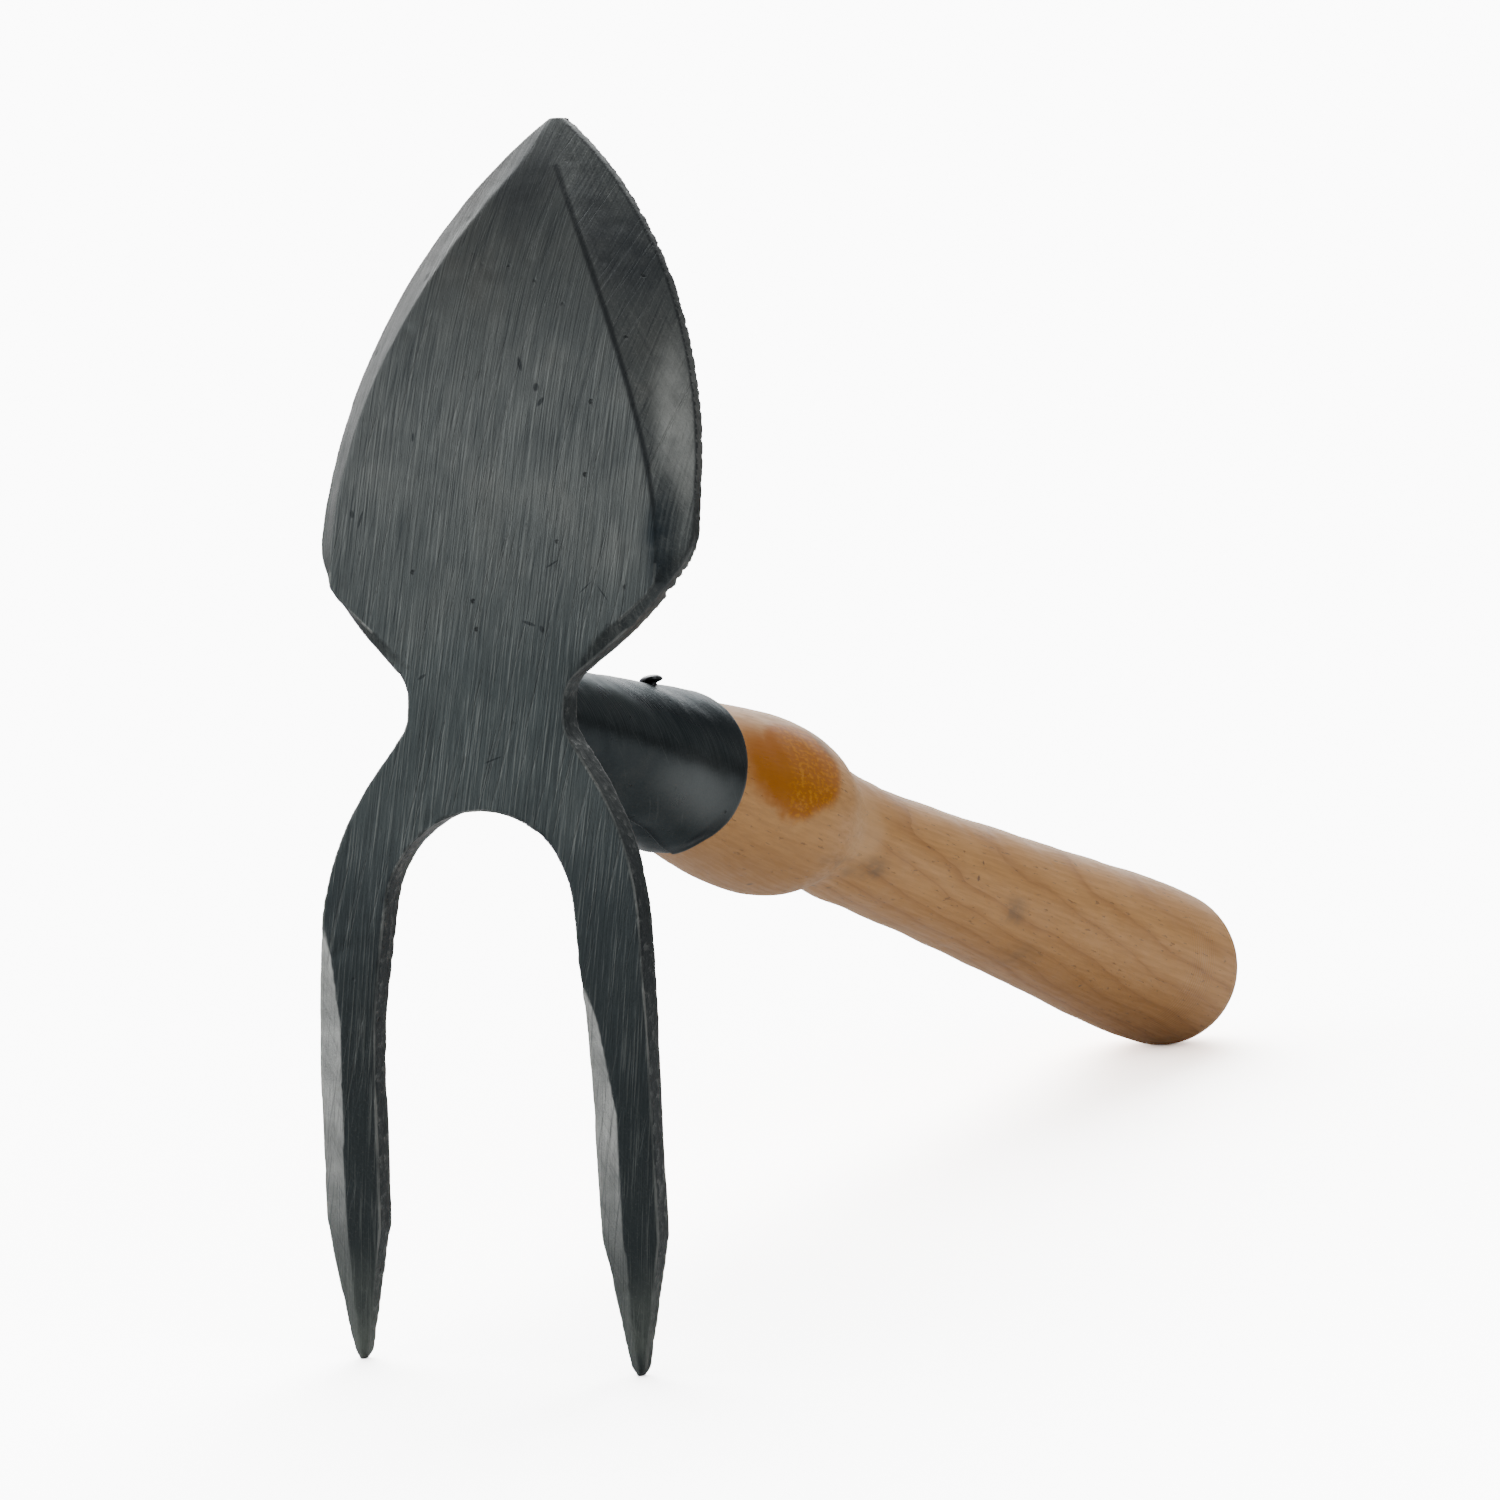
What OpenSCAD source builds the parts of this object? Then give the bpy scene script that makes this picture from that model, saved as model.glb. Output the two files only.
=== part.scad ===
// Hand cultivator: a forged steel head with a heart-shaped hoe blade above and a
// two-tine fork below, a rolled steel socket behind it, and a turned wooden handle.
// It stands on its two tine tips and the butt of the handle.
// +X runs across the head, +Y from the head to the butt, +Z up; the origin is on
// the ground, midway along the tool.

/* [Head] */
// Height from the tine tips to the tip of the blade
head_h = 215.3; // [200:0.1:230]
// Greatest width of the blade
blade_w = 72.4; // [64:0.2:80]
// Height of the blade's widest place
blade_z = 144; // [142:1:148]
// Greatest width of the blade's front panel, between its bent-back edges
panel_w = 63; // [56:1:64]
// Width of the neck
neck_w = 30.2; // [26:0.2:34]
// Thickness of the plate, measured along Y
plate_t = 5.2; // [4:0.1:6.5]
// Thickness of the blade's cutting edge, measured along Y
edge_t = 2.2; // [1.5:0.1:3]
// How far the neck and the panel lean back from vertical, in degrees
lean = 10.5; // [8:0.5:13]
// How far the blade's cutting edges lean back from vertical, in degrees
edge_lean = 20.8; // [18:0.1:22]

/* [Fork] */
// Width over both tines
fork_w = 65; // [58:0.2:70]
// Gap between the tines
gap_w = 42.4; // [38:0.2:46]
// Height of the arch between the tines
arch_z = 96.3; // [94:0.1:100]
// Height at which the tines start to taper
taper_z = 24; // [20:1:34]
// Distance between the tine tips
tips_w = 54; // [52:0.2:56]
// How far the left arris of a tine is ground back from its ridge
bevel_left = 2.0; // [0.5:0.1:2.2]
// How far the right arris of a tine is ground back from its ridge
bevel_right = 0.9; // [0.5:0.1:2.2]

/* [Socket] */
// Drop of the handle below horizontal, in degrees
drop = 16.63; // [14:0.01:20]
// Height at which the handle's axis meets the neck
axis_z = 115; // [112:0.5:118]
// Distance along the axis from the neck to the socket's mouth
mouth_s = 73; // [66:0.5:80]
// Outer radius of the socket's mouth
mouth_r = 15.8; // [15:0.1:17]
// Outer radius of the socket at the plate
root_r = 8; // [7.5:0.1:9]
// Thickness of the rolled sheet
sheet_t = 2; // [1.6:0.1:2.2]
// Width of the open seam
seam_w = 0.8; // [0.4:0.1:1.5]

/* [Handle] */
// Radius of the swell behind the socket
swell_r = 17.5; // [17:0.1:18.5]
// Radius of the waist where the fingers close
waist_r = 12.7; // [12:0.1:14]
// Radius of the rounded butt
butt_r = 18.2; // [17.5:0.1:19]

/* [Nail] */
// Distance along the axis from the neck to the nail
nail_s = 56; // [50:0.5:62]
// Radius of the nail's shank
shank_r = 1.3; // [1:0.1:1.6]
// Radius of the nail's domed head
nail_head_r = 2.1; // [1.8:0.1:2.8]
// Length of the shank below the head
shank_l = 14; // [12:1:18]

/* [Hidden] */
$fn = 96;

steel = [0.22, 0.24, 0.25];
dark_steel = [0.12, 0.13, 0.14];
wood = [0.72, 0.52, 0.36];

// The front of the tines stands this far forward of the tips' own middle
tine_y = -2.3;
// The tines are plumb up to here, then the plate curves back to its lean
bend_z = 40;
flat_z = 88;
// Above this height the panel curls back towards the blade's tip
curl_z = 160;
curl_r = 105;
bend_r = (flat_z - bend_z) / sin(lean);
flat_y = tine_y + bend_r * (1 - cos(lean));
curl_y = flat_y + (curl_z - flat_z) * tan(lean);

// Y of the plate's front along its middle, at height z
function front_y(z) =
    z < bend_z ? tine_y
    : z < flat_z ? tine_y + bend_r - sqrt(pow(bend_r, 2) - pow(z - bend_z, 2))
    : z < curl_z ? flat_y + (z - flat_z) * tan(lean)
    : curl_y + curl_r * (cos(lean) - cos(asin(sin(lean) + (z - curl_z) / curl_r)));

// Y of the blade's edge: a leaning plane, never in front of the panel
function edge_y(z) = max(front_y(z), front_y(head_h) - (head_h - z) * tan(edge_lean));

// Value between a and b as z goes from za to zb, held beyond them
function blend(z, za, zb, a, b) =
    let (k = min(1, max(0, (z - za) / (zb - za)))) a + (b - a) * k;

// Plate thickness in the middle and at the edge
thin_z = 150;
function mid_t(z) = blend(z, thin_z, head_h, plate_t, edge_t);
function side_t(z) = blend(z, blade_z - 16, blade_z + 4, plate_t, edge_t);

// Corner of a path rounded by an arc, as points from one tangent to the other
function round_corner(a, b, c, r, n = 6) =
    let (u = (a - b) / norm(a - b), v = (c - b) / norm(c - b),
         half = acos(u * v) / 2,
         t = r / tan(half),
         m = (u + v) / norm(u + v),
         o = b + m * r / sin(half),
         p = b + u * t - o, q = b + v * t - o)
    [for (i = [0 : n]) let (w = i / n, d = p * (1 - w) + q * w) o + d * r / norm(d)];

// Half outline of the head, as [z, x], from the tip of the blade to the tine's knee
ogive_r = (pow(blade_w / 2, 2) + pow(head_h - blade_z, 2)) / blade_w;
tip_cut = 0.9;
ogive = [for (i = [0 : 19])
    let (z = blade_z + (head_h - tip_cut - blade_z) * (1 - pow(i / 20, 1.3)))
    [z, blade_w / 2 - ogive_r + sqrt(pow(ogive_r, 2) - pow(z - blade_z, 2))]];
shoulder = [blade_z - 4.4, blade_w / 2];
belly = [130, 29.8];
neck_top = [117.6, neck_w / 2];
neck_low = [110.4, neck_w / 2];
fork_top = [90.5, 29.8];
fork_mid = [60, 32.1];
knee = [taper_z, fork_w / 2];
side = concat(ogive,
    round_corner([blade_z, blade_w / 2], shoulder, belly, 11),
    round_corner(shoulder, belly, neck_top, 55),
    round_corner(belly, neck_top, neck_low, 6),
    round_corner(neck_top, neck_low, fork_top, 6),
    round_corner(neck_low, fork_top, fork_mid, 50, 10),
    [fork_mid, knee]);

// The tines narrow in a straight line from the knee to a blunt point
tip_w = 2.4;
function outer_x(z) = z > taper_z ? lookup(z, side)
    : blend(z, 0, taper_z, (tips_w + tip_w) / 2, fork_w / 2);

// The gap is a round arch, whose sides flare out below it and stand straight lower down
arch_r = 18.3;
arch_flare = 7;
arch_mid = arch_z - arch_r;
arch_side = [
    [arch_mid + arch_r * sin(arch_flare), arch_r * cos(arch_flare)], [60, 20.6],
    [taper_z, gap_w / 2], [0, (tips_w - tip_w) / 2]];
function inner_x(z) =
    z > arch_side[0][0] ? sqrt(pow(arch_r, 2) - pow(z - arch_mid, 2)) : lookup(z, arch_side);

// Half width of the front panel; below the bent edges it is only a line on the flat
panel_foot = 134;
panel_top = 211;
function panel_x(z) =
    z < panel_foot ? outer_x(z) * blend(z, arch_z, panel_foot, 0.5, 0.98)
    : min(outer_x(z) * 0.98,
          max(outer_x(z) * 0.3, panel_w / 2 * (1 - pow(max(0, (z - 140) / (panel_top - 140)), 1.7))));
// The crease on the back lies inside the one on the front, by half the bend
function back_x(z) = panel_x(z) - blend(z, panel_foot, 150, 0, 0.42 * min(mid_t(z), panel_x(z)));

// Cross-section of the blade or neck at height z, counter-clockwise from the left edge
function blade_ring(z) =
    let (w = outer_x(z), c = panel_x(z), b = back_x(z), f = front_y(z), e = edge_y(z))
    [[-w, e, z], [-c, f, z], [0, f, z], [c, f, z], [w, e, z],
     [w, e + side_t(z), z], [b, f + mid_t(z), z], [0, f + mid_t(z), z],
     [-b, f + mid_t(z), z], [-w, e + side_t(z), z]];

// Each tine is ground to a ridge: the bevel on its left starts as a point on the left
// arris at ground_top, and reaches the ridge at ground_full, given as [left, right] tine
ground_top = [79, 71];
ground_full = [59, 46];
tip_front = 1.9;
tip_back = -1.3;
// The tips are blunted over their last millimetre and a half
blunt_z = 1.5;
function blunt(z) = blend(sin(90 * min(1, max(0, z) / blunt_z)), 0, 1, 0.35, 1);

// Cross-section of one tine, side 1 right or -1 left, in the same sense and order as
// the half of the blade's ring that it hangs from
function tine_ring(z, hand) =
    let (top = ground_top[hand > 0 ? 1 : 0], full = ground_full[hand > 0 ? 1 : 0],
         mid = (inner_x(z) + outer_x(z)) / 2,
         xi = mid + (inner_x(z) - mid) * blunt(z), xo = mid + (outer_x(z) - mid) * blunt(z),
         share = z > top ? blend(z, top, arch_z, 0.04, 0.5) : blend(z, full, top, 0.45, 0.04),
         ridge = hand > 0 ? xi + (xo - xi) * share : xo - (xo - xi) * share,
         f = front_y(z) + blend(z, 0, taper_z, tip_front, 0),
         b = front_y(z) + plate_t + blend(z, 0, taper_z, tip_back, 0),
         g = blend(z, full, top, 1, 0) * blend(z, 0, taper_z, 0.3, 1),
         fi = f + g * (hand > 0 ? bevel_left : bevel_right),
         fo = f + g * (hand > 0 ? bevel_right : bevel_left))
    hand > 0
        ? [[xi, fi, z], [ridge, f, z], [xo, fo, z], [xo, b, z], [(xi + xo) / 2, b, z], [xi, b, z]]
        : [[-xo, fo, z], [-ridge, f, z], [-xi, fi, z], [-xi, b, z], [-(xi + xo) / 2, b, z], [-xo, b, z]];

// Heights of the sections: the blade's from the tip down to the arch, then the tines',
// which run a little below the ground before their tips are cut flat on it
below_ground = -0.5;
blade_zs = concat([for (p = side) if (p[0] > arch_z + 1) p[0]], [arch_z]);
tine_zs = concat(
    [for (a = [10 : 9 : 82]) arch_mid + arch_r * cos(a)],
    [79, 75, 71, 67, 63, 59, 52, 46, bend_z, 33, taper_z, 18, 12, 5, blunt_z, 0.7, 0.2,
     below_ground]);

// The tine tips are near y = 0 until the whole tool is centred by mid_y; the butt's
// centre lies butt_s along the axis, where its sphere rests on the ground
axis_y = 8.6;
butt_s = (axis_z - butt_r) / sin(drop);
mid_y = (tine_y + axis_y + butt_s * cos(drop) + butt_r) / 2;

// Forged head: one closed skin over the blade's rings, which split into two at the arch
module head() {
    nb = len(blade_zs);
    nt = len(tine_zs);
    points = concat(
        [for (z = blade_zs) each blade_ring(z)],
        [for (z = tine_zs) each tine_ring(z, -1)],
        [for (z = tine_zs) each tine_ring(z, 1)]);
    last = (nb - 1) * 10;
    left = nb * 10;
    right = left + nt * 6;
    left_join = [for (i = [0, 1, 2, 7, 8, 9]) last + i];
    right_join = [for (i = [2, 3, 4, 5, 6, 7]) last + i];
    // Faces between two rings of n points, given as lists of indices, upper then lower
    function skirt(up, low) =
        let (n = len(up))
        [for (i = [0 : n - 1]) let (j = (i + 1) % n) each
            [[up[i], low[j], low[i]], [up[i], up[j], low[j]]]];
    // The shared line at the arch is closed by both tines, so its quad is left to them
    faces = concat(
        [[for (i = [9 : -1 : 0]) i]],
        [for (k = [0 : nb - 2]) each
            skirt([for (i = [0 : 9]) k * 10 + i], [for (i = [0 : 9]) (k + 1) * 10 + i])],
        skirt(left_join, [for (i = [0 : 5]) left + i]),
        skirt(right_join, [for (i = [0 : 5]) right + i]),
        [for (k = [0 : nt - 2]) each
            skirt([for (i = [0 : 5]) left + k * 6 + i], [for (i = [0 : 5]) left + (k + 1) * 6 + i])],
        [for (k = [0 : nt - 2]) each
            skirt([for (i = [0 : 5]) right + k * 6 + i], [for (i = [0 : 5]) right + (k + 1) * 6 + i])],
        [[for (i = [0 : 5]) left + (nt - 1) * 6 + i]],
        [[for (i = [0 : 5]) right + (nt - 1) * 6 + i]]);
    color(steel) translate([0, -mid_y, 0]) intersection() {
        translate([-fork_w, -fork_w, 0]) cube([2 * fork_w, 2 * fork_w, head_h + plate_t]);
        polyhedron(points, faces);
    }
}

// Places its children on the handle's axis: +Z along it from the neck to the butt,
// -Y up and +X to the right
module on_axis() {
    translate([0, axis_y - mid_y, axis_z]) rotate([-90 - drop, 0, 0]) children();
}

// Everything in front of the plate's back at the neck
module plate_side() {
    translate([0, front_y(axis_z) + plate_t - mid_y, axis_z]) rotate([-lean, 0, 0])
        translate([-60, -60, -60]) cube([120, 60, 120]);
}

// Radius of the socket's outside at a distance s along the axis
slope = (mouth_r - root_r) / (mouth_s - plate_t);
function socket_r(s) = mouth_r - (mouth_s - s) * slope;
bore_s = 14;

// Rolled socket: a cone of sheet with an open seam underneath, closed at the plate
module socket() {
    seam_turn = 20;
    color(dark_steel) difference() {
        on_axis() difference() {
            rotate_extrude() polygon([
                [0, 0], [socket_r(0), 0], [mouth_r, mouth_s],
                [mouth_r - sheet_t, mouth_s], [socket_r(bore_s) - sheet_t, bore_s], [0, bore_s]]);
            rotate([0, 0, -seam_turn]) translate([-seam_w / 2, 0, bore_s])
                cube([seam_w, mouth_r + 5, mouth_s]);
            nail_place() cylinder(r = shank_r + 0.2, h = 20, center = true);
        }
        plate_side();
    }
}

// Weld around the socket's root, face to face with the plate and the socket
module weld_bead() {
    bead_w = 3.4;
    bead_h = 3;
    sag = 1.1;
    color(dark_steel) difference() {
        translate([0, front_y(axis_z) + plate_t - mid_y, axis_z]) rotate([-90 - lean, 0, 0])
            translate([0, sag, 0]) rotate_extrude()
                translate([root_r + 0.6, 0]) scale([bead_w / bead_h, 1]) intersection() {
                    circle(r = bead_h, $fn = 48);
                    translate([-bead_h, 0]) square([2 * bead_h, bead_h]);
                }
        plate_side();
        on_axis() cylinder(r1 = socket_r(0), r2 = socket_r(mouth_s), h = mouth_s);
    }
}

// Catmull-Rom curve through the knots, n points for each stretch
function curve(k, n = 6) =
    let (m = len(k) - 1)
    [for (i = [0 : m - 1], j = [0 : n - 1])
        let (t = j / n,
             p0 = k[max(0, i - 1)], p1 = k[i], p2 = k[i + 1], p3 = k[min(m, i + 2)])
        (2 * p1 + (p2 - p0) * t + (2 * p0 - 5 * p1 + 4 * p2 - p3) * pow(t, 2)
            + (3 * p1 - p0 - 3 * p2 + p3) * pow(t, 3)) / 2];

// Turned handle: a tapered end driven into the socket, a swell, a waist and a round butt
fit_gap = 0.1;
tenon_s = 18;
module handle() {
    outline = curve([
        [14.4, mouth_s + 0.5], [16.5, mouth_s + 21], [swell_r, mouth_s + 37],
        [16.2, mouth_s + 49], [13.2, mouth_s + 60], [waist_r, mouth_s + 68],
        [waist_r, mouth_s + 80], [waist_r, mouth_s + 98],
        [14.9, mouth_s + 162], [17.6, mouth_s + 226], [butt_r + 0.2, butt_s - 16],
        [butt_r, butt_s]]);
    cap = [for (a = [0 : 6 : 90]) [butt_r * cos(a), butt_s + butt_r * sin(a)]];
    tenon_r = sheet_t + fit_gap;
    color(wood) on_axis() difference() {
        rotate_extrude() polygon(concat(
            [[0, tenon_s], [socket_r(tenon_s) - tenon_r - 0.6, tenon_s],
             [socket_r(tenon_s + 2) - tenon_r, tenon_s + 2],
             [mouth_r - tenon_r, mouth_s], [mouth_r - tenon_r, mouth_s + 0.5]],
            outline, cap));
        nail_place() cylinder(r = shank_r + 0.02, h = 2 * (shank_l + 1), center = true);
    }
}

// Where the nail's head sits: on the socket's top, right of the middle, leaning left
module nail_place() {
    nail_turn = 12;
    nail_lean = 32;
    nail_tilt = 10;
    nail_stand = 1.1;
    rotate([0, 0, nail_turn]) translate([0, -socket_r(nail_s) - nail_stand, nail_s])
        rotate([0, 0, -nail_lean]) rotate([90 + nail_tilt, 0, 0]) children();
}

// Nail that holds the handle in the socket: a domed head proud of the sheet, and a shank
module nail() {
    head_t = 1.5;
    dome_r = (pow(nail_head_r, 2) + pow(head_t, 2)) / (2 * head_t);
    point_l = 3;
    color(dark_steel) on_axis() nail_place() rotate_extrude() polygon(concat(
        [[0, -shank_l], [0.25, -shank_l], [shank_r, point_l - shank_l], [shank_r, 0]],
        [for (i = [0 : 10])
            let (a = i / 10 * asin(nail_head_r / dome_r))
            [dome_r * sin(asin(nail_head_r / dome_r) - a),
             head_t - dome_r + dome_r * cos(asin(nail_head_r / dome_r) - a)]]));
}

head();
socket();
weld_bead();
handle();
nail();
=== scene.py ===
"""Looks of the hand cultivator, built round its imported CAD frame. Metres, +Z up.

The forged head, rolled socket, weld, nail and turned handle are modelled here in
fine mesh, each in the place of the CAD solid that it stands for.
"""

import math

import bmesh
import bpy
import numpy as np
from mathutils import Matrix, Vector
from mathutils.bvhtree import BVHTree
from mathutils.kdtree import KDTree


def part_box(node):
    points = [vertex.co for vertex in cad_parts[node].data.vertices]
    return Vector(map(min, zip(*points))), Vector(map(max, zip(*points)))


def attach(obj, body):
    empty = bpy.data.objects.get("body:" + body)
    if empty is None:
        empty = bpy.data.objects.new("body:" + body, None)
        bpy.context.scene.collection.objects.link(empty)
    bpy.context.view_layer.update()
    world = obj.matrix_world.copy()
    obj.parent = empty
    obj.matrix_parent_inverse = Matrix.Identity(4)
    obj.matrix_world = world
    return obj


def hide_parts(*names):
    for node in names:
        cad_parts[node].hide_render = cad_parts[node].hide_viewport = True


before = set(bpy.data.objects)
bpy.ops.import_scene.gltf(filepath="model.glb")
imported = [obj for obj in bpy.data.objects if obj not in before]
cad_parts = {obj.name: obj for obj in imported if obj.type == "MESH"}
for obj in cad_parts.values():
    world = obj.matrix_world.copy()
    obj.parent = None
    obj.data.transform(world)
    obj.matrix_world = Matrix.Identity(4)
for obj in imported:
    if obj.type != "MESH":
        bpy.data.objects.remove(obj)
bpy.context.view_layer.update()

MM = 0.001

# The part's driving dimensions
DROP = math.radians(16.63)  # of the handle's axis below the horizontal
LEAN = math.radians(10.5)  # of the neck and the panel, back from vertical
AXIS_Z = 115 * MM  # height at which the handle's axis meets the neck
MOUTH_S = 73 * MM  # distance along that axis from the neck to the socket's mouth
MOUTH_R = 15.8 * MM
ROOT_R = 8 * MM  # radius of the socket at the back of the plate
PLATE_T = 5.2 * MM
BUTT_R = 18.2 * MM
NAIL_S = 56 * MM
NAIL_TURN = math.radians(78)  # from +X towards the top of the socket
TINE_Z = 80 * MM  # below this height the tines are ground to a ridge

# The handle's axis, from the neck to the butt, and the two directions across it
ALONG = np.array([0, math.cos(DROP), -math.sin(DROP)])
ABOVE = np.array([0, math.sin(DROP), math.cos(DROP)])
RIGHT = np.array([1.0, 0, 0])
BUTT_S = (AXIS_Z - BUTT_R) / math.sin(DROP)
handle_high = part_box("handle")[1]
ORIGIN = np.array([0, handle_high[1] - BUTT_R - BUTT_S * math.cos(DROP), AXIS_Z])


def axis_point(s, turn, r):
    """Points s along the handle's axis, at radius r, turned from +X towards the top."""
    s, turn, r = np.broadcast_arrays(s, turn, r)
    across = np.cos(turn)[..., None] * RIGHT + np.sin(turn)[..., None] * ABOVE
    return ORIGIN + s[..., None] * ALONG + r[..., None] * across


def node_points(name):
    """The vertices of a CAD node, as an array."""
    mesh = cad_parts[name].data
    points = np.empty(len(mesh.vertices) * 3)
    mesh.vertices.foreach_get("co", points)
    return points.reshape(-1, 3)


# ---------------------------------------------------------------- mesh helpers


def waves(points, size, seed, count=26):
    """Smooth random field of about unit size, made of sines with wavelengths near size."""
    rng = np.random.default_rng(seed)
    way = rng.normal(size=(count, 3))
    way /= np.linalg.norm(way, axis=1)[:, None]
    way *= (2 * math.pi / size) * rng.uniform(0.7, 1.4, (count, 1))
    shift = rng.uniform(0, 2 * math.pi, count)
    return np.sin(points @ way.T + shift).sum(axis=1) * math.sqrt(2 / count)


def smooth(x, low, high):
    """0 below low, 1 above high, with an easy curve between."""
    t = np.clip((x - low) / (high - low), 0, 1)
    return t * t * (3 - 2 * t)


def dents(points, seed, count, sizes, depths):
    """How far count round dents, at random places, push in each point. Sizes in mm."""
    rng = np.random.default_rng(seed)
    total = np.zeros(len(points))
    for spot in rng.choice(len(points), count, replace=False):
        radius, depth = rng.uniform(*sizes) * MM, rng.uniform(*depths) * MM
        near = np.linalg.norm(points - points[spot], axis=1) / radius
        total += depth * np.exp(-near ** 2)
    return total


def new_object(name, points, faces):
    mesh = bpy.data.meshes.new(name)
    mesh.from_pydata([tuple(p) for p in points], [], faces)
    mesh.update()
    obj = bpy.data.objects.new(name, mesh)
    bpy.context.scene.collection.objects.link(obj)
    return obj


def coords(obj):
    points = np.empty(len(obj.data.vertices) * 3)
    obj.data.vertices.foreach_get("co", points)
    return points.reshape(-1, 3)


def normals(obj):
    out = np.empty(len(obj.data.vertices) * 3)
    obj.data.vertices.foreach_get("normal", out)
    return out.reshape(-1, 3)


def set_coords(obj, points):
    obj.data.vertices.foreach_set("co", points.ravel())
    obj.data.update()


def set_attribute(obj, name, values):
    """Stores one number, or one vector, for each vertex, for the materials to read."""
    kind, key = ("FLOAT", "value") if values.ndim == 1 else ("FLOAT_VECTOR", "vector")
    layer = obj.data.attributes.new(name, kind, "POINT")
    layer.data.foreach_set(key, values.astype(np.float32).ravel())


def apply_modifiers(obj):
    """Bakes the modifiers into the mesh, so that its points can be moved further."""
    graph = bpy.context.evaluated_depsgraph_get()
    baked = bpy.data.meshes.new_from_object(obj.evaluated_get(graph))
    obj.modifiers.clear()
    old, obj.data = obj.data, baked
    bpy.data.meshes.remove(old)


def grid_faces(rows, columns, wrap):
    """Quads of a grid of points stored row by row; wrap joins the last column to the first."""
    faces = []
    for i in range(rows - 1):
        for j in range(columns if wrap else columns - 1):
            k = (j + 1) % columns
            faces.append((i * columns + j, i * columns + k,
                          (i + 1) * columns + k, (i + 1) * columns + j))
    return faces


def face_outwards(obj):
    shape = bmesh.new()
    shape.from_mesh(obj.data)
    bmesh.ops.recalc_face_normals(shape, faces=shape.faces)
    shape.to_mesh(obj.data)
    shape.free()
    obj.data.update()


def finish_piece(obj, node, material):
    """Smooth-shades a piece, gives it its material, and puts it in its CAD node's place."""
    for face in obj.data.polygons:
        face.use_smooth = True
    obj.data.materials.clear()
    obj.data.materials.append(material)
    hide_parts(node)
    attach(obj, "root")


# ------------------------------------------------------------- material helpers


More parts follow.
